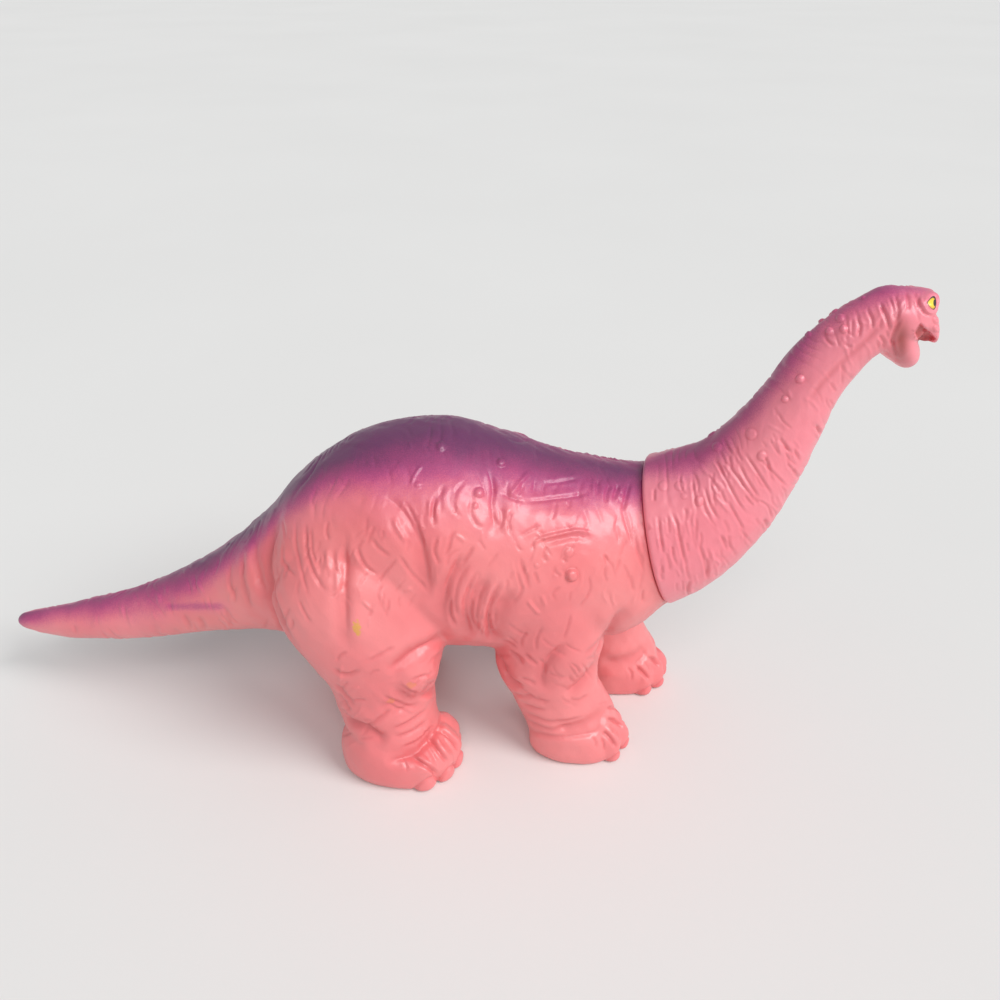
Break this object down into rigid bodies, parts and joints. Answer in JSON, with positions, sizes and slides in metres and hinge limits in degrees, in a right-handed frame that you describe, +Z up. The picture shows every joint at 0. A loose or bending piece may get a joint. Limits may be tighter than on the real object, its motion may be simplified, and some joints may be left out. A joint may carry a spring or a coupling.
{
  "type": "toy dinosaur figure",
  "caption": "Long-necked dinosaur figure in soft vinyl, standing in mid step, with a neck that snaps into the body and turns in it.",
  "frame": {"origin": "on the floor under the middle of the figure's box, between its four feet", "axes": "+X towards the head, +Y to the dinosaur's left, +Z up from the floor that the soles stand on"},
  "size_m": [0.2936, 0.0818, 0.1575],
  "materials": {
    "body_vinyl": "semi-gloss salmon-pink soft vinyl, sprayed purple along the back and tail",
    "neck_vinyl": "semi-gloss pink soft vinyl, sprayed purple along the top of neck and head, eyes painted yellow"
  },
  "bodies": {
    "body": {"body_with_legs_and_tail": "body_vinyl"},
    "neck": {"neck_with_head": "neck_vinyl"}
  },
  "joints": [
    {"name": "neck_swivel", "type": "hinge", "parent": "body", "child": "neck", "pos_m": [0.0772, 0, 0.0738], "axis": [0.9426, -0.2004, 0.2672], "continuous": true}
  ]
}
